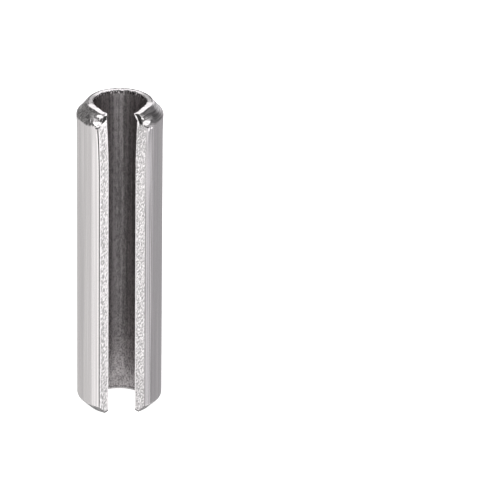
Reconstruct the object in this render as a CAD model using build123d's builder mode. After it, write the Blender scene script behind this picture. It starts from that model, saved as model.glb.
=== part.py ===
from build123d import *
import os
from math import radians, sqrt, tan

# A slotted spring pin, in millimetres. It is one strip of spring steel, rolled into a tube
# that doesn't close, so the whole pin is one solid. The origin is on its axis at the lower
# end, +Z runs up the axis to the lead-in end, and the slot faces -Y.

# The rolled tube before it is driven, for a hole 10 mm across
pin_length = 40.4
pin_diameter = 10.4
wall_thickness = 2.0

# The formed cone of the upper end, which leads the pin into its hole
lead_length = 1.5
lead_drop = 1.2
lead_shoulder_radius = 0.5

# The chamfer of the lower end, and the small one inside the bore there
foot_length = 1.3
foot_drop = 1.3
foot_shoulder_radius = 0.4
foot_bore_chamfer = 0.2

# The slot, between the strip's two sheared ends. It is narrowest at the bore, and each face
# opens outwards at its own angle from the middle plane.
slot_gap = 3.2
left_face_angle = 38.0
right_face_angle = 32.0

# Forming the cone spread the slot below it and drew the bore edges of the two lips together
# over it. The right lip came in further, and its face was turned to the front.
spread_length = 7.0
spread_each_side = 0.2
left_lip_draw = 0.04
right_lip_draw = 0.46
left_lip_angle = 30.0
right_lip_angle = 50.0

# The tumbled edges, round both end faces and along the outside of the slot
edge_radius = 0.12

# How far the slot's cutter runs past the lower end, and how many sections shape its spread
cutter_overrun = 1.0
spread_sections = 4

outer_radius = pin_diameter / 2
bore_radius = outer_radius - wall_thickness
lead_base = pin_length - lead_length
spread_base = lead_base - spread_length
half_gap = slot_gap / 2


def cutter_side(side, gap, face_angle):
    """Inner and outer corner of one side of the slot, for its half width at the bore."""
    slope = tan(radians(face_angle))
    at_bore = -sqrt(bore_radius**2 - gap**2)
    inside = at_bore + gap / slope / 2
    outside = -outer_radius - cutter_overrun
    return [
        (side * (gap + (at_bore - depth) * slope), depth) for depth in (inside, outside)
    ]


def cutter_section(height, left, right):
    """The slot's section at a height. Each side is its half width at the bore and its angle."""
    left_side = cutter_side(-1, *left)
    right_side = cutter_side(1, *right)
    with BuildSketch(Plane.XY.offset(height)) as section:
        with BuildLine():
            Polyline(*left_side, *reversed(right_side), close=True)
        make_face()
    return section.sketch.faces()[0]


def shank_section(height, gap):
    """The slot's section in the shank, where both sides are as wide."""
    return cutter_section(height, (gap, left_face_angle), (gap, right_face_angle))


def is_slot_edge(edge):
    """Whether an edge runs up the outside of the slot, on either side of it."""
    middle = edge @ 0.5
    ahead = middle.Y < -bore_radius / 2
    outside = middle.X**2 + middle.Y**2 > (bore_radius + edge_radius) ** 2
    return ahead and outside and abs((edge % 0.5).Z) > 0.1


with BuildPart() as spring_pin:
    # The wall's section, with a rounded shoulder where each end turns in
    with BuildSketch(Plane.XZ) as wall_section:
        with BuildLine():
            Polyline(
                (bore_radius, foot_bore_chamfer),
                (bore_radius + foot_bore_chamfer, 0),
                (outer_radius - foot_drop, 0),
                (outer_radius, foot_length),
                (outer_radius, lead_base),
                (outer_radius - lead_drop, pin_length),
                (bore_radius, pin_length),
                close=True,
            )
        make_face()
        for height, radius in (
            (foot_length, foot_shoulder_radius),
            (lead_base, lead_shoulder_radius),
        ):
            corners = wall_section.vertices().sort_by_distance((outer_radius, height))
            fillet(corners[0], radius)
    revolve(axis=Axis.Z)

    # The slot runs straight up the shank
    straight = [
        shank_section(height, half_gap) for height in (-cutter_overrun, spread_base)
    ]
    loft(straight, ruled=True, mode=Mode.SUBTRACT)

    # Then it spreads, ever faster, up to the cone, and its lips come together over the cone
    formed = []
    for step in range(spread_sections):
        share = step / (spread_sections - 1)
        gap = half_gap + spread_each_side * share**2
        formed.append(shank_section(spread_base + spread_length * share, gap))
    left_lip = (gap - left_lip_draw, left_lip_angle)
    right_lip = (gap - right_lip_draw, right_lip_angle)
    formed.append(cutter_section(pin_length, left_lip, right_lip))
    loft(formed, mode=Mode.SUBTRACT)

    # Tumbling rounded the outer edges of the slot and of both end faces
    inner_limit = bore_radius + foot_bore_chamfer + edge_radius
    slot_edges = spring_pin.edges().filter_by(is_slot_edge)
    circles = spring_pin.edges().filter_by(GeomType.CIRCLE).group_by(Axis.Z)
    end_circles = circles[0] + circles[-1]
    rims = end_circles.filter_by(lambda edge: edge.radius > inner_limit)
    fillet(slot_edges + rims, edge_radius)

spring_pin.part.label = "spring_pin"

os.makedirs("parts", exist_ok=True)
export_step(spring_pin.part, "parts/spring_pin.step")
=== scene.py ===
from math import atan2, cos, pi, radians, sin, tan

import bpy
import numpy as np
from mathutils import Matrix, Vector, noise


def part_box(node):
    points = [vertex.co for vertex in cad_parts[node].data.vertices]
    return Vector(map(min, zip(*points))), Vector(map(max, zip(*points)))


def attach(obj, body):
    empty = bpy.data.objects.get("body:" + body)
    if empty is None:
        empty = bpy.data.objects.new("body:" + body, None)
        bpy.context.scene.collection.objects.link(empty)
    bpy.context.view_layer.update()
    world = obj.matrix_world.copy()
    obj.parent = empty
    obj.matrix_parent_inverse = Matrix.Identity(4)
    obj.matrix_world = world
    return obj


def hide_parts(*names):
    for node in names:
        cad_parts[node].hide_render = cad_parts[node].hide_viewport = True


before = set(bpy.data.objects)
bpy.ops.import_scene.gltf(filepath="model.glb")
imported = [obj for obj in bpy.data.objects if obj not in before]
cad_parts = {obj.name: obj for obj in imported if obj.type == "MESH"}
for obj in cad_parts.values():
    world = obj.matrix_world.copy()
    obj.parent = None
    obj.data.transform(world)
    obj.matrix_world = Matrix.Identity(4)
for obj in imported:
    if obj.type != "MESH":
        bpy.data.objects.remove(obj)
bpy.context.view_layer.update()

# A slotted spring pin, standing on its lower end with its slot towards -Y. The frame gives its
# length and diameter. Sizes are in metres, and the named angles are in degrees.
MM = 0.001
NODE = "spring_pin"
SIDES = ("left", "right")
LOW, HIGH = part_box(NODE)
LENGTH = HIGH.z - LOW.z
OUTER = HIGH.x
WALL = 2.0 * MM
BORE = OUTER - WALL

# The formed cone on top and the chamfer below: how far each goes along the pin and into it. The
# small chamfer inside the bore goes as far both ways.
LEAD_LENGTH = 1.5 * MM
LEAD_DROP = 1.2 * MM
FOOT_LENGTH = 1.3 * MM
FOOT_DROP = 1.3 * MM
FOOT_BORE = 0.04 * MM
LEAD_BASE = LENGTH - LEAD_LENGTH

# The radius of each shoulder and of each end face's rims. The cone's border is where its
# shoulder starts, up the shank.
LEAD_SHOULDER = 0.5 * MM
FOOT_SHOULDER = 0.3 * MM
RIM = 0.13 * MM
BORE_RIM = 0.05 * MM
BORDER = LEAD_BASE - LEAD_SHOULDER * tan(atan2(LEAD_DROP, LEAD_LENGTH) / 2)

# On the two lips, which reach this far from the slot, the cone is shorter and rounder
LIP_LENGTH = 1.1 * MM
LIP_SHOULDER = 1.1 * MM
LIP_REACH = 1.7 * MM

# Forming the cone pushed its border out a little, less and less down the shank
BULGE = 0.07 * MM
BULGE_LENGTH = 3.0 * MM

# The slot: its half width at the bore, and how far each face turns from the middle plane
HALF_GAP = {"left": 1.55 * MM, "right": 1.69 * MM}
FACE_ANGLE = {"left": 39.5, "right": 32.0}

# Forming the cone spread the slot below it. Over the cone it drew the right lip in, and it turned
# both faces further from the middle plane, all of the way by this share of the cone's length.
SPREAD_LENGTH = 7.0 * MM
SPREAD = 0.2 * MM
LIP_DRAW = {"left": 0.0, "right": 0.46 * MM}
LIP_ANGLE = {"left": 72.0, "right": 76.0}
LIP_TURNED = 0.8

# The lips droop towards the slot
DROOP = {"left": 0.30 * MM, "right": 0.36 * MM}
DROOP_REACH = 1.5 * MM

# The flat ring on top is pinched narrower towards the slot
PINCH = 0.24 * MM
PINCH_REACH = 3.0 * MM

# The strip's edges stayed flat beside the slot when the rest of it was rolled round
FLAT_ANGLE = 11.5

# At the back the marks of the right half give way to the left's, between these shares of half the
# way round
BACK = (0.9, 1.1)

# How far the strip's long edges are rounded: outside, at the bore, and low and high on the lips
LONG_EDGE = {"left": 0.09 * MM, "right": 0.06 * MM}
BORE_EDGE = 0.04 * MM
LIP_ROLL = {"left": 0.60 * MM, "right": 0.30 * MM}
LIP_EDGE = {"left": 0.20 * MM, "right": 0.24 * MM}

# How high the marks of making stand out of the surface
DRAWN_LINES = 0.002 * MM
CONE_PITS = 0.012 * MM
CONE_STROKES = 0.003 * MM
TOP_NICKS = 0.008 * MM
TORN_RIM = 0.16 * MM
SHEARED_WAVES = 0.03 * MM
SHEARED_GRAIN = 0.022 * MM

# The painted highlights on each lip, each an ellipse, in millimetres: its middle, from the slot and
# from the cone's border, how far it reaches both ways, and its rise away from the slot. Their
# outlines are ragged, by this share and at this length.
PAINTED_HIGHLIGHTS = {
    "left": [
        ((-0.15, 0.36), (0.72, 0.22), 0.15),
        ((-0.12, 1.02), (0.46, 0.12), 0.35),
        ((-0.20, 0.76), (0.24, 0.08), 0.0),
        ((0.95, 0.62), (0.11, 0.16), 0.0),
    ],
    "right": [
        ((-0.16, 0.37), (0.54, 0.19), 0.20),
        ((-0.44, 1.00), (0.14, 0.12), 0.0),
        ((-0.46, 0.72), (0.16, 0.09), 0.0),
        ((0.22, -0.40), (0.20, 0.12), 0.0),
        ((0.62, -0.36), (0.14, 0.10), 0.0),
    ],
}
RAGGED = 0.5
RAGGED_LENGTH = 0.22

# The dark band on each lip's face, painted shade and a painted dark reflection, by its two edges:
# shares of the way up the cone, and at each how far across the face the edge is, from 0 at the bore
# to 1 at the cone's surface
BAND_INNER = {
    "left": ((0.05, 0.13, 0.28, 0.57, 0.80), (0.58, 0.33, 0.06, 0.01, -0.05)),
    "right": ((-0.20, 0.10, 0.60), (0.20, 0.16, 0.15)),
}
BAND_OUTER = {
    "left": ((0.05, 0.13, 0.23, 0.37, 0.62, 0.84), (0.66, 0.62, 0.58, 0.44, 0.36, 0.26)),
    "right": ((-0.22, -0.02, 0.30, 0.72), (0.38, 0.54, 0.52, 0.62)),
}

# How finely the surface is divided, and how far apart two seeds look into the noise
ROW = 0.2 * MM
ARC_POINTS = 5
SHOULDER_POINTS = 9
WALL_CELLS = 18
EDGE_COLUMNS = 7
FLAT_COLUMNS = 6
ROLLED_COLUMNS = 150
SEED_OFFSET = 17.3


def smooth_step(value, low, high):
    """0 below low, 1 above high, and smooth between. With low above high it falls instead."""
    share = np.clip((value - low) / (high - low), 0, 1)
    return share * share * (3 - 2 * share)


def blend(first, second, share):
    """The first at 0, the second at 1, and on the straight way between them in between."""
    return first + (second - first) * share


def ripples(points, scale, seed):
    """Even noise from about -1 to 1 at points, with features about as long as scale each way."""
    scaled = np.asarray(points) / np.asarray(scale) + seed * SEED_OFFSET
    flat = scaled.reshape(-1, 3)
    return np.array([noise.noise(Vector(point)) for point in flat]).reshape(scaled.shape[:-1])


# The wall's section, as radius and height


def fillet(before, corner, after, radius, count):
    """Points of the arc of a radius that rounds a corner between two others."""
    before, corner, after = (np.array(point, float) for point in (before, corner, after))
    towards = (before - corner) / np.linalg.norm(before - corner)
    away = (after - corner) / np.linalg.norm(after - corner)
    half = np.arccos(np.clip(towards @ away, -1, 1)) / 2
    middle = (towards + away) / np.linalg.norm(towards + away)
    centre = corner + middle * radius / sin(half)
    start = corner + towards * radius / tan(half) - centre
    end = corner + away * radius / tan(half) - centre
    turn = pi - 2 * half
    return [
        centre + (start * sin((1 - share) * turn) + end * sin(share * turn)) / sin(turn)
        for share in np.linspace(0, 1, count)
    ]


def between(start, end, count):
    """Points that divide the way between two others, without the two themselves."""
    return [blend(start, end, share) for share in np.linspace(0, 1, count + 1)[1:-1]]


def section_sides(lead_length, shoulder_radius):
    """The outer side, the top, the bore and the bottom of the wall's section."""
    foot_rim, foot_shoulder = (OUTER - FOOT_DROP, 0), (OUTER, FOOT_LENGTH)
    lead_shoulder, lead_rim = (OUTER, LENGTH - lead_length), (OUTER - LEAD_DROP, LENGTH)
    bore_foot, bore_top = (BORE + FOOT_BORE, 0), (BORE, LENGTH)
    bore_shoulder = (BORE, FOOT_BORE)
    arcs = [
        fillet(bore_foot, foot_rim, foot_shoulder, RIM, ARC_POINTS),
        fillet(foot_rim, foot_shoulder, lead_shoulder, FOOT_SHOULDER, SHOULDER_POINTS),
        fillet(foot_shoulder, lead_shoulder, lead_rim, shoulder_radius, SHOULDER_POINTS),
        fillet(lead_shoulder, lead_rim, bore_top, RIM, ARC_POINTS),
    ]
    runs = (FOOT_LENGTH, LENGTH - FOOT_LENGTH - LEAD_LENGTH, LEAD_LENGTH)
    steps = (ROW / 2, ROW, ROW / 2)
    outer = list(arcs[0])
    for last, arc, run, step in zip(arcs, arcs[1:], runs, steps):
        outer += between(last[-1], arc[0], round(run / step)) + arc

    # The bore has as many points as the outer side, and between its rims they are spaced alike
    low_arc = fillet(foot_rim, bore_foot, bore_shoulder, BORE_RIM, ARC_POINTS)
    low_arc += fillet(bore_foot, bore_shoulder, bore_top, BORE_RIM, ARC_POINTS)
    high_arc = fillet(bore_foot, bore_top, lead_rim, BORE_RIM, ARC_POINTS)
    heights = np.array([point[1] for point in outer[2 * ARC_POINTS - 1 : 1 - ARC_POINTS]])
    share = (heights - heights[0]) / (heights[-1] - heights[0])
    heights = blend(low_arc[-1][1], high_arc[0][1], share)
    inner = low_arc + [np.array((BORE, height)) for height in heights[1:-1]] + high_arc

    across = np.linspace(0, 1, WALL_CELLS + 1)[:, None]
    top = outer[-1] * (1 - across) + inner[-1] * across
    bottom = outer[0] * (1 - across) + inner[0] * across
    return np.array(outer), top, np.array(inner), bottom


def loop_places(rows, cells):
    """The section grid's rim, as (row, cell) pairs: up outside, in, down the bore and out."""
    up = [(row, 0) for row in range(rows + 1)]
    inwards = [(rows, cell) for cell in range(1, cells + 1)]
    down = [(row, cells) for row in range(rows - 1, -1, -1)]
    outwards = [(0, cell) for cell in range(cells - 1, 0, -1)]
    return up + inwards + down + outwards


def section_loop(lead_length, shoulder_radius):
    """The rim of the section: its points and their places in the section's grid."""
    outer, top, inner, bottom = section_sides(lead_length, shoulder_radius)
    rows = len(outer) - 1
    places = loop_places(rows, WALL_CELLS)
    points = []
    for row, cell in places:
        if cell == 0:
            points.append(outer[row])
        elif row == rows:
            points.append(top[cell])
        elif cell == WALL_CELLS:
            points.append(inner[row])
        else:
            points.append(bottom[cell])
    return np.array(points), places


def grid_shape(places):
    """How many rows and cells of points the grid inside a rim has."""
    return [max(place[axis] for place in places) + 1 for axis in (0, 1)]


def filled(loop, places):
    """The section's rim filled with an even grid of points."""
    rows, cells = grid_shape(places)
    grid = np.zeros((rows, cells, 2))
    for point, place in zip(loop, places):
        grid[place] = point
    up = np.linspace(0, 1, rows)[:, None, None]
    across = np.linspace(0, 1, cells)[None, :, None]
    sides = grid[:, :1] * (1 - across) + grid[:, -1:] * across
    ends = grid[:1] * (1 - up) + grid[-1:] * up
    corners = (grid[:1, :1] * (1 - across) + grid[:1, -1:] * across) * (1 - up)
    corners += (grid[-1:, :1] * (1 - across) + grid[-1:, -1:] * across) * up
    return sides + ends - corners


def loop_normals(loop):
    """The outward normal at each point of the section's rim."""
    along = np.roll(loop, -1, axis=0) - np.roll(loop, 1, axis=0)
    normals = np.stack([along[:, 1], -along[:, 0]], axis=1)
    return normals / np.linalg.norm(normals, axis=1)[:, None]


def pinched(loop, near):
    """The section's rim at a distance from the slot, with its top pinched as it is there."""
    radius, height = loop.T
    share = np.clip((height - LEAD_BASE) / LEAD_LENGTH, 0, 1)
    cone_radius = OUTER - LEAD_DROP * share
    inwards = PINCH * share * smooth_step(near, PINCH_REACH, 0)
    inwards *= (radius - BORE) / (cone_radius - BORE)
    return np.stack([radius - np.maximum(inwards, 0), height], axis=-1)


# The slot's two faces, and how the wall meets them


def face_turn(radius, height, side):
    """The angle from -Y to a slot face, in radians, at a radius and height."""
    spread = np.clip((height - LEAD_BASE + SPREAD_LENGTH) / SPREAD_LENGTH, 0, 1)
    lip = np.clip((height - LEAD_BASE) / LEAD_LENGTH, 0, 1)
    gap = HALF_GAP[side] + SPREAD * spread**2 - LIP_DRAW[side] * lip
    turned = smooth_step(lip, 0, LIP_TURNED)
    slope = np.radians(blend(FACE_ANGLE[side], LIP_ANGLE[side], turned))
    at_bore = np.sqrt(BORE**2 - gap**2)
    return slope + np.arcsin(np.cos(slope) * (gap - at_bore * np.tan(slope)) / radius)


def outer_share(radius):
    """1 in the outer part of the wall, 0 at the bore, and smooth between."""
    return smooth_step(radius, OUTER - 0.9 * WALL, OUTER - 0.3 * WALL)


def edge_rounding(loop, side):
    """How far the section's rim is rounded at each point, where it meets a slot face."""
    radius, height = loop.T
    edge = blend(BORE_EDGE, LONG_EDGE[side], outer_share(radius))
    up = height - LEAD_BASE
    on_lip = blend(LIP_ROLL[side], LIP_EDGE[side], smooth_step(up, 0.6 * MM, 1.2 * MM))
    on_cone = smooth_step(up, -0.4 * MM, 0.6 * MM)
    on_cone *= smooth_step(height, LENGTH, LENGTH - 0.25 * MM)
    on_cone *= smooth_step(radius, BORE + 0.1 * MM, BORE + 0.6 * MM)
    return blend(edge, on_lip, on_cone)


def placed(radius, height, angle, near, side):
    """Points in space, from radius, height, angle from -Y and distance to the nearest slot face."""
    drop = DROOP[side] * smooth_step(height, LEAD_BASE, LENGTH)
    drop = drop * smooth_step(near, DROOP_REACH, 0)
    return np.stack([radius * np.sin(angle), -radius * np.cos(angle), height - drop], axis=-1)


def chord(into):
    """The share of the radius left on a flat edge, at an angle from its slot face."""
    flat = radians(FLAT_ANGLE)
    return np.cos(flat / 2) / np.cos(np.clip(into, 0, flat) - flat / 2)


# The marks that drawing, forming and shearing left in the surface


def border_bulge(radius, height):
    """How far the outside bulges below the cone."""
    below = smooth_step(height, BORDER + 0.5 * MM, BORDER + 0.1 * MM)
    bulge = BULGE * below * smooth_step(height, BORDER - BULGE_LENGTH, BORDER + 0.1 * MM) ** 2
    return bulge * smooth_step(radius, BORE + 0.2 * MM, BORE + 1.0 * MM)


def cone_marks(spots, angle):
    """The pits on the left of the cone, and the forming tool's strokes on the right."""
    _, radius, height = spots.T
    on_cone = smooth_step(height, LEAD_BASE, LEAD_BASE + 0.2 * MM)
    on_cone *= smooth_step(radius, BORE + 0.2 * MM, BORE + 0.5 * MM)
    on_left = smooth_step(angle, BACK[0] * pi, BACK[1] * pi)
    pits = CONE_PITS * ripples(spots, (0.7 * MM, 0.5 * MM, 0.24 * MM), seed=2)
    strokes = CONE_STROKES * ripples(spots, (2.6 * MM, 0.5 * MM, 0.20 * MM), seed=5)
    return on_cone * (on_left * pits + (1 - on_left) * strokes)


def torn_rim(spots, angle):
    """The broken upper edge of the bore, most of all across from the slot."""
    _, radius, height = spots.T
    torn = smooth_step(height, LENGTH - 0.35 * MM, LENGTH)
    torn *= smooth_step(radius, BORE + 0.25 * MM, BORE)
    torn *= 0.35 + 0.65 * smooth_step(-np.cos(angle), -0.3, 0.2)
    tears = ripples(spots, (0.26 * MM, 1 * MM, 0.5 * MM), seed=4)
    return TORN_RIM * torn * (tears - 0.3)


def relief(loop, angle):
    """How far each point of a column stands out of the plain wall, along the rim's normal."""
    radius, height = loop.T
    spots = np.stack([angle * OUTER, radius, height], axis=-1)
    out = DRAWN_LINES * ripples(spots, (0.5 * MM, 9 * MM, 14 * MM), seed=1)
    out *= 1 - 0.6 * smooth_step(radius, BORE + 0.4 * MM, BORE + 0.1 * MM)
    at_top = smooth_step(height, LENGTH - 0.06 * MM, LENGTH - 0.01 * MM)
    nicks = TOP_NICKS * at_top * ripples(spots, (0.35 * MM, 0.3 * MM, 1 * MM), seed=3)
    out += border_bulge(radius, height)
    out += cone_marks(spots, angle)
    out += nicks
    out += torn_rim(spots, angle)
    return out


def sheared_relief(grid, side):
    """How far a slot face's points stand out of its plane: torn metal, smooth over the cone."""
    radius, height = grid[..., 0], grid[..., 1]
    depth = OUTER - radius

    # The left face is torn in its inner part, and the right one all over, with leaning tears
    if side == "left":
        seed, lean = 11, 0.0
        torn = smooth_step(depth, 0.5 * MM, 1.1 * MM)
    else:
        seed, lean = 21, 0.7
        torn = np.ones_like(depth)
    spots = np.stack([depth + lean * height, height - lean * depth, depth * 0], axis=-1)
    waves = SHEARED_WAVES * ripples(spots, (0.6 * MM, 0.42 * MM, 1), seed)
    grain = SHEARED_GRAIN * ripples(spots, (0.3 * MM, 0.24 * MM, 1), seed + 1)
    out = (waves + grain) * (0.2 + 0.8 * torn)
    rim = np.minimum(depth, radius - BORE)
    out *= smooth_step(rim, 0.02 * MM, 0.25 * MM)
    return out * smooth_step(height, LEAD_BASE + 0.3 * MM, LEAD_BASE - 0.2 * MM)


def lip_edge(height):
    """The radius at which a lip's face meets the cone, at a height."""
    return OUTER - (LEAD_DROP + PINCH) * np.clip((height - LEAD_BASE) / LEAD_LENGTH, 0, 1)


def lip_place(radius, height):
    """A place on a lip's face: 0 to 1 up the cone, and 0 to 1 from the bore to the cone."""
    up = (height - LEAD_BASE) / LEAD_LENGTH
    return up, (radius - BORE) / (lip_edge(height) - BORE)


def lip_marks(radius, height, side):
    """How much painted shade and how much painted highlight a place on a lip's face has, each from 0
    to 1.
    """
    up, across = lip_place(radius, height)
    inner = np.interp(up, *BAND_INNER[side])
    outer = np.interp(up, *BAND_OUTER[side])
    # Between its two edges the band is painted shade and a painted dark reflection
    painted_shade = smooth_step(across, inner - 0.03, inner + 0.02)
    painted_shade *= smooth_step(across, outer + 0.03, outer - 0.02)

    # The face has a painted highlight from the bore to the band of painted shade
    if side == "left":
        painted_shade *= smooth_step(up, 0.06, 0.12) * smooth_step(up, 0.78, 0.72)
        bright = smooth_step(across, inner + 0.02, inner - 0.04) * smooth_step(up, -0.40, -0.10)
    else:
        painted_shade *= smooth_step(up, -0.24, -0.17)
        bright = smooth_step(across, inner + 0.03, inner - 0.01) * smooth_step(up, -0.36, -0.30)

    # A short crease of painted shade lies under the outer part of each face
    under = smooth_step(across, 0.66, 0.74)
    under *= smooth_step(up, -0.13, -0.09) * smooth_step(up, 0.01, -0.03)
    return np.maximum(painted_shade, under), bright * smooth_step(up, 0.80, 0.70)


def border_crease(near, height):
    """How dark a place beside the slot is along the cone's border, from 0 to 1: painted shade in the
    crease there.
    """
    along = smooth_step(height - BORDER, -0.12 * MM, -0.05 * MM)
    along *= smooth_step(height - BORDER, 0.13 * MM, 0.06 * MM)
    return along * smooth_step(near, 0.42 * MM, 0.22 * MM)


# The strip, column by column, from the right face of the slot round to the left one


def column_kinds():
    """The columns round the strip: each side's rounded edge and flat, and the roll between."""
    turns = [("turn", share) for share in np.linspace(0, 1, EDGE_COLUMNS)]
    flats = [("flat", share) for share in np.linspace(0, 1, FLAT_COLUMNS + 1)[1:]]
    rolled = [("rolled", share) for share in np.linspace(0, 1, ROLLED_COLUMNS + 1)[1:-1]]
    right = [("right", *kind) for kind in turns + flats]
    left = [("left", *kind) for kind in turns + flats]
    middle = [("right" if share < 0.5 else "left", kind, share) for kind, share in rolled]
    return right + middle + left[::-1]


def column_angles(loop, edge_angle, side, kind, share):
    """A column's angles from -Y, and from the nearest slot face. On the rounded edge the second
    is edge_angle."""
    flat = radians(FLAT_ANGLE)
    left, right = (face_turn(*loop.T, name) for name in SIDES)
    end = 2 * pi - left
    if kind == "turn":
        inwards = edge_angle
    elif kind == "flat":
        inwards = blend(edge_angle, flat, share)
    else:
        inwards = flat + (end - right - 2 * flat) * share
    from_left = kind != "rolled" and side == "left"
    angle = end - inwards if from_left else right + inwards
    return angle, np.minimum(angle - right, end - angle)


def strip_column(loop, side, kind, share):
    """One column: its points, their angles from -Y and distances to the slot, and their marks."""
    radius, height = loop.T
    normals = loop_normals(loop)
    edge = edge_rounding(loop, side)
    turn = share * pi / 2 if kind == "turn" else pi / 2
    shrunk = loop - normals * (edge * (1 - sin(turn)))[:, None]
    edge_angle = edge * (1 - cos(turn)) / radius
    angle, into = column_angles(shrunk, edge_angle, side, kind, share)
    near = into * radius
    raised = relief(loop, angle) * smooth_step(near, 0, 0.3 * MM)
    shrunk = shrunk + normals * raised[:, None]
    outside = outer_share(radius) * smooth_step(height, LENGTH, LEAD_BASE - 0.3 * MM)
    flattened = 1 - (1 - chord(into)) * outside
    points = placed(shrunk[:, 0] * flattened, shrunk[:, 1], angle, near, side)

    # The lips' marks are on the slot's faces, and a column that hasn't turned is the rim of one
    painted_shade, bright = (mark * (turn == 0) for mark in lip_marks(*shrunk.T, side))
    painted_shade = np.maximum(painted_shade, border_crease(near, height) * outside)
    return points, angle, near, np.stack([painted_shade, bright], axis=-1)


def strip_columns(plain, formed):
    """The section's rim carried round the strip: each column's points, angles, distances, marks."""
    flat = radians(FLAT_ANGLE)
    left, right = (face_turn(OUTER, LEAD_BASE, side) for side in SIDES)
    rolled = 2 * pi - left - right - 2 * flat
    columns = []
    for side, kind, share in column_kinds():
        into = {"turn": 0, "flat": flat * share, "rolled": flat + rolled * share}[kind]
        near = min(into, rolled + 2 * flat - into) * OUTER
        loop = blend(plain, formed, smooth_step(near, LIP_REACH, LIP_REACH / 3))
        columns.append(strip_column(pinched(loop, near), side, kind, share))
    return [np.array(values) for values in zip(*columns)]


def slot_face(loop, places, side):
    """A slot face inside the rim's rounding: its points, its grid in the section, its angles."""
    loop = pinched(loop, 0)
    shrunk = loop - loop_normals(loop) * edge_rounding(loop, side)[:, None]
    grid = filled(shrunk, places)
    radius, height = grid[..., 0], grid[..., 1]
    turn = face_turn(radius, height, side) - sheared_relief(grid, side) / radius
    angle = turn if side == "right" else 2 * pi - turn
    return placed(radius, height, angle, np.zeros_like(angle), side), grid, angle


# The regions of the surface, which have a finish each


def in_painted_highlight(away, height, side):
    """Whether a place on a lip, at a distance from the slot's edge, has a painted highlight."""
    place = np.array((away, height - BORDER)) / MM
    ragged = RAGGED * noise.noise(Vector((*place, 0)) / RAGGED_LENGTH)
    for middle, reach, rise in PAINTED_HIGHLIGHTS[side]:
        across, up = place - middle
        if (across / reach[0]) ** 2 + ((up - rise * across) / reach[1]) ** 2 < 1 + ragged:
            return True
    return False


def rim_region(first, second, height):
    """The region between two neighbours on the section's rim, given by row and cell."""
    (row, cell), (next_row, next_cell) = first, second
    if cell == 0 and next_cell == 0:
        if height < FOOT_LENGTH:
            return "foot"
        return "drawn" if height < BORDER else "cone"
    if row == next_row:
        return "bottom" if row == 0 else "top"
    return "bore"


def column_region(region, on_edge, side, near, height):
    """The region of one face of a column: near the slot, some regions give way to others."""
    if region in ("cone", "drawn") and in_painted_highlight(near, height, side):
        return "rubbed"
    return "sheared" if on_edge and region == "bore" else region


def face_region(radius, height, drooped, side):
    """The region of a place on a slot face. Drooped is its height after the lip's droop."""
    up, across = lip_place(radius, height)
    was_formed = up > 0.02 and across > np.interp(up, *BAND_OUTER[side])
    if not was_formed:
        return "sheared"
    return "rubbed" if in_painted_highlight(radius - lip_edge(height), drooped, side) else "cone"


# The pin as one closed mesh


def strip_faces(plain, places, points, nears):
    """The quads between the columns, and their regions."""
    columns, count = nears.shape
    afters = [(index + 1) % count for index in range(count)]
    rim = []
    for index, after in enumerate(afters):
        height = (plain[index][1] + plain[after][1]) / 2
        rim.append(rim_region(places[index], places[after], height))
    faces, regions = [], []
    for column in range(columns - 1):
        on_edge = column < EDGE_COLUMNS - 1 or column >= columns - EDGE_COLUMNS
        side = "right" if column < columns / 2 else "left"
        start, end = column * count, (column + 1) * count
        for index, after in enumerate(afters):
            faces.append((start + index, end + index, end + after, start + after))
            place = nears[column, index], points[column, index, 2]
            regions.append(column_region(rim[index], on_edge, side, *place))
    return faces, regions


def face_numbers(places, rim_start, inside_start):
    """The number of each point of a slot face. Its rim is a column's, and the inside is its own."""
    numbers = np.full(grid_shape(places), -1)
    for index, place in enumerate(places):
        numbers[place] = rim_start + index
    inside = numbers < 0
    numbers[inside] = inside_start + np.arange(inside.sum())
    return numbers, inside


def face_quads(numbers, side):
    """The quads of a slot face, row by row, facing out of the metal."""
    corners = [numbers[:-1, :-1], numbers[1:, :-1], numbers[1:, 1:], numbers[:-1, 1:]]
    quads = np.stack(corners, axis=-1).reshape(-1, 4)
    return quads.tolist() if side == "right" else quads[:, ::-1].tolist()


def pin_mesh():
    """The pin's surface: points, their attributes "strip" and "slot", faces and their regions."""
    plain, places = section_loop(LEAD_LENGTH, LEAD_SHOULDER)
    formed, _ = section_loop(LIP_LENGTH, LIP_SHOULDER)
    rings, angles, nears, marks = strip_columns(plain, formed)
    columns, count = angles.shape
    points = [rings.reshape(-1, 3)]
    depth = np.broadcast_to(OUTER - plain[:, 0], angles.shape)
    height = np.broadcast_to(plain[:, 1], angles.shape)
    strips = [np.stack([angles * OUTER, depth, height], axis=-1).reshape(-1, 3) / MM]
    slots = [np.concatenate([nears[..., None] / MM, marks], axis=-1).reshape(-1, 3)]
    faces, regions = strip_faces(plain, places, rings, nears)
    for side, column in (("right", 0), ("left", columns - 1)):
        face, grid, angle = slot_face(formed, places, side)
        made = sum(len(block) for block in points)
        numbers, inside = face_numbers(places, column * count, made)
        radius, height = grid[..., 0], grid[..., 1]
        painted_shade, bright = lip_marks(radius, height, side)
        points.append(face[inside])
        strips.append(np.stack([angle * OUTER, OUTER - radius, height], axis=-1)[inside] / MM)
        slots.append(np.stack([np.zeros_like(bright), painted_shade, bright], axis=-1)[inside])
        faces += face_quads(numbers, side)
        for row, cell in np.ndindex(numbers.shape[0] - 1, numbers.shape[1] - 1):
            regions.append(face_region(*grid[row, cell], face[row, cell, 2], side))
    arrays = [np.concatenate(blocks) for blocks in (points, strips, slots)]
    return *arrays, faces, regions


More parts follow.
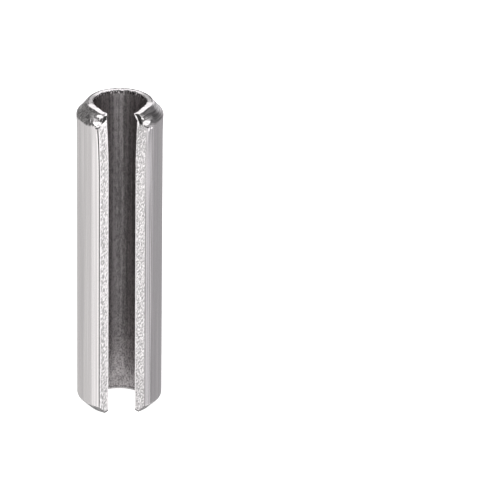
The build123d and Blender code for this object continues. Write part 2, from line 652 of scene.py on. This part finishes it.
def build_pin(finishes):
    """The detailed pin, in place of the CAD node, with a material for each region."""
    points, strips, slots, faces, regions = pin_mesh()
    mesh = bpy.data.meshes.new("rolled_pin")
    mesh.from_pydata(points.tolist(), [], faces)
    mesh.polygons.foreach_set("use_smooth", [True] * len(faces))
    order = list(finishes)
    mesh.polygons.foreach_set("material_index", [order.index(region) for region in regions])
    for name, values in (("strip", strips), ("slot", slots)):
        attribute = mesh.attributes.new(name, "FLOAT_VECTOR", "POINT")
        attribute.data.foreach_set("vector", values.astype(np.float32).ravel())
    mesh.validate()
    mesh.update()
    for material in finishes.values():
        mesh.materials.append(material)
    pin = bpy.data.objects.new("rolled_pin", mesh)
    bpy.context.scene.collection.objects.link(pin)
    return pin


# Materials. The attribute "strip" is the place on the strip: round it, into it and up it. The
# attribute "slot" is the distance to the nearest slot face, and then how much painted shade and
# how much painted highlight the lips' marks put there, from 0 to 1. In the materials, places and
# distances are in millimetres.
# This is half the way round the strip.
HALF_ROUND = pi * OUTER / MM

# The tints of the steel, and of the darker steel in the bore, whose darkness is painted shade
STEEL_TINT = (1.0, 0.972, 0.975)
BORE_TINT = (1.0, 0.94, 0.95)

# The deeper lines outside, beside the right of the slot: how far they reach from it, the place of
# the first even one, and how far apart those are
LINED_REACH = 1.42
FIRST_LINE = 0.24
LINE_SPACING = 0.33

# The long streaks at the back of the bore, which are also painted reflections, from one place to
# another round the strip
BORE_STREAKS_AND_REFLECTIONS = {
    "pale": ((15.32, 15.92), (16.50, 17.32)),
    "dull": ((14.60, 15.20), (16.02, 16.42)),
}


class Nodes:
    """Adds nodes to a tree. An input is a plain value or another node's output."""

    def __init__(self, tree):
        self.tree = tree
        tree.nodes.clear()

    def set(self, socket, value):
        """Gives a socket a plain value, or links another node's output to it."""
        if isinstance(value, bpy.types.NodeSocket):
            self.tree.links.new(value, socket)
        else:
            socket.default_value = value

    def node(self, kind, inputs=None, **settings):
        """A new node with its settings and inputs."""
        node = self.tree.nodes.new(kind)
        for name, value in settings.items():
            setattr(node, name, value)
        for name, value in (inputs or {}).items():
            self.set(node.inputs[name], value)
        return node

    def add(self, kind, inputs=None, output=0, **settings):
        """One output of a new node."""
        return self.node(kind, inputs, **settings).outputs[output]

    def math(self, operation, first, second=0.0):
        """An operation on one or two values."""
        return self.add("ShaderNodeMath", {0: first, 1: second}, operation=operation)

    def plus(self, first, second):
        return self.math("ADD", first, second)

    def minus(self, first, second):
        return self.math("SUBTRACT", first, second)

    def times(self, first, second):
        return self.math("MULTIPLY", first, second)

    def most(self, first, second):
        return self.math("MAXIMUM", first, second)

    def step(self, value, low, high, start=0.0, end=1.0):
        """Start below low, end above high, and smooth between."""
        inputs = {"Value": value, "From Min": low, "From Max": high, "To Min": start, "To Max": end}
        return self.add("ShaderNodeMapRange", inputs, interpolation_type="SMOOTHSTEP")

    def band(self, value, low, high, soft=0.06):
        """1 between low and high, 0 outside, and smooth between over soft each way."""
        rise = self.step(value, low - soft, low + soft)
        return self.times(rise, self.step(value, high + soft, high - soft))

    def blend(self, share, first, second):
        """One value at 0, the other at 1."""
        return self.add("ShaderNodeMix", {0: share, 2: first, 3: second})

    def mix(self, share, first, second):
        """One colour at 0, the other at 1."""
        inputs = {0: share, 6: first, 7: second}
        return self.add("ShaderNodeMix", inputs, output=2, data_type="RGBA")

    def parts(self, attribute):
        """The three values of a point attribute."""
        vector = self.add("ShaderNodeAttribute", output="Vector", attribute_name=attribute)
        return self.node("ShaderNodeSeparateXYZ", {0: vector}).outputs

    def grain(self, scale, detail=3.0, turn=0.0):
        """Noise from 0 to 1 on the strip: scale is features a millimetre round, into and up it."""
        spot = self.add("ShaderNodeAttribute", output="Vector", attribute_name="strip")
        if turn:
            inputs = {"Vector": spot, "Angle": radians(turn)}
            spot = self.add("ShaderNodeVectorRotate", inputs, rotation_type="X_AXIS")
        stretched = self.add("ShaderNodeVectorMath", {0: spot, 1: scale}, operation="MULTIPLY")
        inputs = {"Vector": stretched, "Scale": 1.0, "Detail": detail, "Roughness": 0.55}
        return self.add("ShaderNodeTexNoise", inputs)

    def both(self, first, second):
        """Two grains together, the first a little stronger."""
        return self.plus(self.times(first, 0.6), self.times(second, 0.4))

    def left_half(self, arc):
        """0 on the right half of the strip, 1 on the left, and smooth between at the back."""
        return self.step(arc, BACK[0] * HALF_ROUND, BACK[1] * HALF_ROUND)

    def output(self, kind, surface):
        """The tree's output node."""
        self.set(self.node(kind).inputs["Surface"], surface)


def grey(level, tint=STEEL_TINT):
    """A colour near grey: a level and a slight tint."""
    return (*(level * part for part in tint), 1)


def new_material(name):
    """A material and its empty node tree."""
    material = bpy.data.materials.new(name)
    material.use_nodes = True
    return material, Nodes(material.node_tree)


def finish(nodes, colour, roughness, height, bump, metallic=1.0):
    """The metal's shader, from its colour, its roughness and the height of its relief."""
    normal = nodes.add("ShaderNodeBump", {"Strength": 1.0, "Distance": bump, "Height": height})
    inputs = {"Base Color": colour, "Metallic": metallic, "Roughness": roughness, "Normal": normal}
    nodes.output("ShaderNodeOutputMaterial", nodes.add("ShaderNodeBsdfPrincipled", inputs))


def drawn_steel():
    """The outside: drawn lengthwise, with deeper lines beside the right of the slot."""
    material, nodes = new_material("drawn_steel")
    arc, _, height = nodes.parts("strip")
    near, painted_shade, _ = nodes.parts("slot")
    on_right = nodes.step(arc, HALF_ROUND - 0.1, HALF_ROUND, 1.0, 0.0)
    on_left = nodes.minus(1.0, on_right)

    drawn = nodes.both(nodes.grain((3.4, 0.1, 0.04)), nodes.grain((1.1, 0.1, 0.02)))
    colour = nodes.mix(nodes.step(drawn, 0.35, 0.65), grey(0.58), grey(0.72))

    # The deeper lines are evenly spaced further down
    phase = nodes.times(nodes.minus(near, FIRST_LINE), 2 * pi / LINE_SPACING)
    even = nodes.times(nodes.math("COSINE", phase), nodes.step(height, 33.0, 23.0, 0.0, 0.14))
    lines = nodes.plus(nodes.grain((2.6, 0.1, 0.05)), even)
    scored = nodes.mix(nodes.step(lines, 0.35, 0.65), grey(0.50), grey(0.84))
    lined = nodes.times(on_right, nodes.step(near, LINED_REACH, LINED_REACH - 0.16))
    colour = nodes.mix(lined, colour, scored)

    # A painted highlight line and a painted line of shade run beside the left of the slot, up to the
    # cone's crease of painted shade
    beside = nodes.times(on_left, nodes.step(near, 0.22, 0.14))
    colour = nodes.mix(beside, colour, grey(0.92))
    painted_edge_shade = nodes.times(on_left, nodes.step(near, 0.05, 0.01))
    crease = nodes.step(painted_shade, 0.08, 0.40)
    colour = nodes.mix(nodes.most(painted_edge_shade, crease), colour, grey(0.03))
    rough = nodes.step(drawn, 0.35, 0.65, 0.30, 0.22)
    finish(nodes, colour, rough, drawn, 0.006 * MM)
    return material


def streaks_and_reflections_of(nodes, arc, kind):
    """1 on the bore's long streaks and painted reflections of a kind, and 0 beside them."""
    first, second = (nodes.band(arc, *ends) for ends in BORE_STREAKS_AND_REFLECTIONS[kind])
    return nodes.most(first, second)


def bore_steel():
    """The bore: darker as painted shade, with lengthwise streaks above and an even grain towards the
    foot.
    """
    material, nodes = new_material("bore_steel")
    arc, _, height = nodes.parts("strip")
    drawn = nodes.both(nodes.grain((1.9, 0.1, 0.06), detail=4.0), nodes.grain((6.0, 0.1, 1.6)))
    grains = nodes.grain((4.6, 1.0, 3.8))
    even = nodes.both(grains, nodes.grain((1.6, 1.0, 1.0)))
    surface = nodes.blend(nodes.step(height, 13.0, 4.0, 0.40, 0.85), drawn, even)
    pale = nodes.times(streaks_and_reflections_of(nodes, arc, "pale"), 0.014)
    dull = nodes.times(streaks_and_reflections_of(nodes, arc, "dull"), 0.016)
    streaked = nodes.minus(nodes.minus(pale, dull), 0.004)
    surface = nodes.plus(surface, nodes.times(streaked, nodes.step(height, 4.0, 9.0)))
    colour = nodes.mix(nodes.step(surface, 0.40, 0.60), grey(0.22, BORE_TINT), grey(0.57, BORE_TINT))

    # The lower edge is a painted reflection of the floor, bright under a dark line of painted shade,
    # and both are uneven
    place = nodes.plus(height, nodes.times(nodes.minus(grains, 0.5), 0.9))
    shaded = nodes.times(nodes.step(place, 0.50, 0.40), nodes.step(place, 0.22, 0.30))
    colour = nodes.mix(shaded, colour, grey(0.20, BORE_TINT))
    colour = nodes.mix(nodes.step(place, 0.26, 0.18), colour, grey(0.62))

    # The upper edge is torn dark, with bright flakes
    chips = nodes.grain((3.4, 1.0, 3.0))
    below = nodes.minus(LENGTH / MM, height)
    torn = nodes.times(nodes.step(chips, 0.56, 0.46), nodes.step(below, 0.52, 0.22))
    colour = nodes.mix(torn, colour, grey(0.06, BORE_TINT))
    flaked = nodes.minus(chips, nodes.step(below, 0.2, 1.4, 0.0, 0.16))
    colour = nodes.mix(nodes.step(flaked, 0.57, 0.62), colour, grey(0.95))
    rough = nodes.step(surface, 0.36, 0.64, 0.44, 0.34)
    finish(nodes, colour, rough, surface, 0.02 * MM)
    return material


def formed_steel():
    """The cone: dull from the forming tool, pitted on the left and stroked round on the right."""
    material, nodes = new_material("formed_steel")
    arc, _, _ = nodes.parts("strip")
    _, painted_shade, _ = nodes.parts("slot")
    pits = nodes.grain((3.0, 3.0, 3.0), detail=4.0)
    strokes = nodes.grain((0.25, 2.0, 5.0), detail=4.0)
    on_left = nodes.left_half(arc)
    surface = nodes.blend(on_left, strokes, pits)
    dark = nodes.mix(on_left, grey(0.21), grey(0.28))
    pale = nodes.mix(on_left, grey(0.60), grey(0.72))
    colour = nodes.mix(nodes.step(surface, 0.38, 0.62), dark, pale)
    # Painted shade and dark reflection on the lips, and painted shade in the crease along the border
    colour = nodes.mix(painted_shade, colour, grey(0.04))
    rough = nodes.step(surface, 0.35, 0.65, 0.42, 0.28)
    finish(nodes, colour, rough, surface, 0.05 * MM)
    return material


def painted_highlight_steel():
    """The painted highlights on the lips, as bright patches."""
    material, nodes = new_material("painted_highlight_steel")
    marks = nodes.grain((1.6, 3.0, 3.0), detail=4.0)
    colour = nodes.mix(nodes.step(marks, 0.34, 0.46), grey(0.62), grey(1.0))
    rough = nodes.step(marks, 0.35, 0.65, 0.34, 0.24)
    finish(nodes, colour, rough, marks, 0.02 * MM, metallic=0.3)
    return material


def end_steel():
    """The flat ring of the lead-in end: a painted highlight in front and behind, nicked, broken and
    painted with shade at its rims.
    """
    material, nodes = new_material("end_steel")
    arc, depth, _ = nodes.parts("strip")
    # The brighter front and back of the ring are a painted highlight
    facing = nodes.math("COSINE", nodes.math("DIVIDE", arc, OUTER / MM))
    in_front = nodes.step(facing, 0.05, 0.25)
    behind = nodes.step(facing, -0.45, -0.75)
    bright = nodes.mix(nodes.most(in_front, behind), grey(0.46), grey(0.95))

    # The rims are broken up and darkened as painted shade, apart from those in front, where there
    # are fewer nicks too
    nicks = nodes.grain((4.2, 4.2, 1.0), detail=4.0)
    inside = nodes.step(depth, WALL / MM - 0.32, WALL / MM, 0.0, 0.24)
    outside = nodes.step(depth, LEAD_DROP / MM + 0.28, LEAD_DROP / MM + 0.17, 0.0, 0.25)
    painted_edge = nodes.times(nodes.plus(inside, outside), nodes.minus(1.0, in_front))
    whole = nodes.plus(nodes.minus(nicks, painted_edge), nodes.times(in_front, 0.08))
    colour = nodes.mix(nodes.step(whole, 0.32, 0.40), grey(0.12), bright)
    rough = nodes.step(nicks, 0.35, 0.6, 0.34, 0.22)
    finish(nodes, colour, rough, nicks, 0.015 * MM)
    return material


def foot_steel(name, dark, light):
    """The chamfer or the face of the foot, pressed, between a dark and a light grey."""
    material, nodes = new_material(name)
    marks = nodes.grain((1.0, 1.6, 2.6), detail=4.0)
    colour = nodes.mix(nodes.step(marks, 0.36, 0.64), grey(dark), grey(light))
    rough = nodes.step(marks, 0.36, 0.64, 0.42, 0.32)
    finish(nodes, colour, rough, marks, 0.02 * MM)
    return material


def sheared_steel():
    """The slot faces: torn, matt and bright. Their lips have a band of painted shade and one of
    painted highlight.
    """
    material, nodes = new_material("sheared_steel")
    arc, depth, height = nodes.parts("strip")
    _, painted_shade, bright = nodes.parts("slot")
    on_left = nodes.left_half(arc)
    strokes = nodes.grain((1.0, 4.4, 2.6), turn=35)
    streaks = nodes.grain((1.0, 5.2, 2.4), turn=-35)
    torn = nodes.blend(on_left, streaks, strokes)

    # The left face is paler than the right, apart from its middle. The right is dented on top.
    middle = nodes.times(nodes.step(depth, 0.3, 0.6), nodes.step(depth, 1.5, 1.1))
    darker = nodes.minus(nodes.times(middle, 0.05), 0.035)
    dented = nodes.times(nodes.minus(1.0, on_left), nodes.step(height, 34.5, 37.0, 0.0, 0.05))
    darker = nodes.plus(nodes.times(darker, on_left), dented)
    share = nodes.step(nodes.minus(torn, darker), 0.38, 0.63)

    # Both faces are darker towards the foot
    light = nodes.step(height, 9.0, 1.0, 0.96, 0.83)
    dark = nodes.step(height, 9.0, 1.0, 0.40, 0.30)
    level = nodes.plus(dark, nodes.times(share, nodes.minus(light, dark)))
    colour = nodes.mix(level, (0, 0, 0, 1), grey(1.0))

    # The edge at the bore has a painted highlight, less on the right of the slot near the cone
    lower = nodes.step(height, 33.0, 28.0, 0.2, 0.75)
    painted_edge = nodes.most(nodes.times(on_left, 0.85), lower)
    edge = nodes.times(nodes.step(depth, WALL / MM - 0.28, WALL / MM - 0.14), painted_edge)
    colour = nodes.mix(edge, colour, grey(0.98))

    # A painted highlight line and a painted line of shade run along the left face's outer edge, up
    # to the cone
    below = nodes.step(height, LEAD_BASE / MM, LEAD_BASE / MM - 0.2)
    outer = nodes.times(on_left, below)
    line = nodes.times(outer, nodes.step(depth, 0.38, 0.28))
    colour = nodes.mix(line, colour, grey(0.95))
    painted_edge_shade = nodes.times(outer, nodes.step(depth, 0.19, 0.13))
    colour = nodes.mix(painted_edge_shade, colour, grey(0.04))

    # The lower end is painted dark as shade, and the lips have their marks of painted highlight and
    # painted shade
    colour = nodes.mix(nodes.step(height, 0.26, 0.16), colour, grey(0.12))
    colour = nodes.mix(bright, colour, grey(1.0))
    colour = nodes.mix(painted_shade, colour, grey(0.01))
    finish(nodes, colour, 0.5, torn, 0.08 * MM, metallic=0.1)
    return material


def pin_finishes():
    """The finish of each region of the surface."""
    return {
        "drawn": drawn_steel(),
        "bore": bore_steel(),
        "cone": formed_steel(),
        "rubbed": painted_highlight_steel(),
        "top": end_steel(),
        # The chamfer's dark greys are painted shade from the floor under the pin
        "foot": foot_steel("foot_steel", 0.12, 0.26),
        "bottom": foot_steel("foot_face_steel", 0.50, 0.70),
        "sheared": sheared_steel(),
    }


# Stage. The camera's direction, seen from the pin, and how far it then turns away from the pin.
# Its sensor and lens are in the camera's own millimetres.
CAMERA_AZIMUTH, CAMERA_ELEVATION = -4.4, 25.66
CAMERA_PAN, CAMERA_TILT, CAMERA_ROLL = 1.245, -0.027, 0.133
CAMERA_DISTANCE = 140.6 * OUTER
SENSOR_WIDTH, FOCAL_LENGTH = 36, 432

# The floor, and below it a smaller sheet, which the steel mirrors in its place. Each lies a hair
# lower than what is above it.
FLOOR_REACH = 1.5
HAIR = 0.01 * MM


def add_camera():
    """The photograph's camera, found by fitting the pin's outline."""
    azimuth, elevation = radians(CAMERA_AZIMUTH), radians(CAMERA_ELEVATION)
    back = Vector((sin(azimuth) * cos(elevation), -cos(azimuth) * cos(elevation), sin(elevation)))
    right = Vector((cos(azimuth), sin(azimuth), 0))
    facing = Matrix((right, back.cross(right), back))
    turned = Matrix.Rotation(radians(CAMERA_PAN), 3, "Y")
    turned = Matrix.Rotation(radians(CAMERA_TILT), 3, "X") @ turned
    turned = Matrix.Rotation(radians(-CAMERA_ROLL), 3, "Z") @ turned
    data = bpy.data.cameras.new("camera")
    data.sensor_width = SENSOR_WIDTH
    data.lens = FOCAL_LENGTH
    data.clip_start = 0.01
    data.clip_end = 10
    camera = bpy.data.objects.new("camera", data)
    centre = (LOW + HIGH) / 2
    centre.x = centre.y = 0
    rotation = (turned @ facing).transposed()
    place = Matrix.Translation(centre + back * CAMERA_DISTANCE)
    camera.matrix_world = place @ rotation.to_4x4()
    bpy.context.scene.collection.objects.link(camera)
    bpy.context.scene.camera = camera


def floor_material(name, mirrored):
    """White paint that shows only soft shadow, and is clear from below. Mirrored is how much
    brighter the steel reflects it."""
    material, nodes = new_material(name)
    paint = nodes.add("ShaderNodeBsdfDiffuse", {"Color": (0.8, 0.8, 0.8, 1)})
    paths = nodes.node("ShaderNodeLightPath").outputs
    seen = nodes.times(paths["Is Camera Ray"], 0.78)
    strength = nodes.plus(seen, nodes.times(paths["Is Glossy Ray"], mirrored))
    lift = nodes.add("ShaderNodeEmission", {"Strength": strength})
    shown = nodes.add("ShaderNodeAddShader", {0: paint, 1: lift})
    behind = nodes.add("ShaderNodeNewGeometry", output="Backfacing")
    clear = nodes.add("ShaderNodeBsdfTransparent")
    surface = nodes.add("ShaderNodeMixShader", {0: behind, 1: shown, 2: clear})
    nodes.output("ShaderNodeOutputMaterial", surface)
    return material


def add_sheet(name, reach, height, material):
    """A square of floor, as far to each side as reach."""
    mesh = bpy.data.meshes.new(name)
    corners = [(-reach, -reach, 0), (reach, -reach, 0), (reach, reach, 0), (-reach, reach, 0)]
    mesh.from_pydata(corners, [], [(0, 1, 2, 3)])
    mesh.materials.append(material)
    sheet = bpy.data.objects.new(name, mesh)
    sheet.location.z = height
    bpy.context.scene.collection.objects.link(sheet)
    return sheet


def add_floor():
    """The white floor. The steel mirrors only the part that the pin stands on."""
    paint = floor_material("floor_paint", 0.0)
    floor = add_sheet("floor", FLOOR_REACH, LOW.z - HAIR, paint)
    floor.visible_glossy = False
    under = floor_material("paint_under_pin", 0.36)
    add_sheet("floor_under_pin", OUTER, LOW.z - 2 * HAIR, under)


def add_lamp():
    """A large soft lamp above the camera. It is out of the steel's reflections."""
    data = bpy.data.lights.new("soft_lamp", "SUN")
    data.energy = 3.0
    data.angle = radians(50)
    lamp = bpy.data.objects.new("soft_lamp", data)
    lamp.rotation_euler = (radians(55), 0, radians(CAMERA_AZIMUTH))
    lamp.visible_glossy = False
    bpy.context.scene.collection.objects.link(lamp)


def add_studio():
    """A white studio: bright behind, overhead and low all round, dark above the camera."""
    world = bpy.data.worlds.new("studio")
    world.use_nodes = True
    bpy.context.scene.world = world
    nodes = Nodes(world.node_tree)
    spot = nodes.add("ShaderNodeTexCoord", output="Generated")
    x, y, z = nodes.node("ShaderNodeSeparateXYZ", {0: spot}).outputs
    ahead = nodes.times(y, -1.0)

    # The table below: brighter in front and on the left, and dim far in front
    table_back = nodes.step(x, -0.4, 0.6, 0.74, 0.50)
    table_back = nodes.plus(table_back, nodes.step(x, -0.62, -0.86, 0.0, 0.12))
    table_front = nodes.step(x, -0.8, 0.8, 1.30, 0.88)
    table = nodes.blend(nodes.step(ahead, 0.10, 0.20), table_back, table_front)
    table = nodes.times(table, nodes.step(ahead, 0.5, 0.75, 1.0, 0.35))

    # Above the table: a band of light all round, higher and brighter in front, under a dark dome
    reach = nodes.step(ahead, -0.1, 0.2, 0.0, 0.42)
    band = nodes.step(ahead, -0.1, 0.2, 0.5, 1.5)
    dome = nodes.step(z, nodes.minus(reach, 0.12), reach, band, 0.22)

    # In the dome: a backdrop high up behind, and a light overhead
    high = nodes.times(nodes.step(y, 0.25, 0.45), nodes.step(z, 0.22, 0.34, 0.0, 1.15))
    aside = nodes.math("ABSOLUTE", x)
    backdrop = nodes.times(high, nodes.step(aside, 0.65, 0.50))
    overhead = nodes.step(z, 0.92, 0.97, 0.0, 1.4)
    above = nodes.most(dome, nodes.most(backdrop, overhead))
    level = nodes.blend(nodes.step(z, -0.12, -0.22), above, table)

    # A panel low behind on the right
    panel = nodes.times(nodes.step(y, 0.66, 0.80), nodes.step(x, 0.12, 0.30))
    panel = nodes.times(panel, nodes.step(z, -0.36, -0.22, 0.0, 1.35))
    level = nodes.most(level, panel)

    # The camera sees plain white
    path = nodes.add("ShaderNodeLightPath", output="Is Camera Ray")
    level = nodes.blend(path, level, 1.0)
    tint = nodes.mix(nodes.step(x, -0.5, 0.6), (1.0, 0.99, 0.985, 1), (1.0, 0.985, 1.01, 1))
    tint = nodes.mix(path, tint, (1, 1, 1, 1))
    surface = nodes.add("ShaderNodeBackground", {"Color": tint, "Strength": level})
    nodes.output("ShaderNodeOutputWorld", surface)
    bpy.context.scene.view_settings.view_transform = "Standard"


pin = build_pin(pin_finishes())
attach(pin, "root")
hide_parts(NODE)
add_camera()
add_floor()
add_lamp()
add_studio()
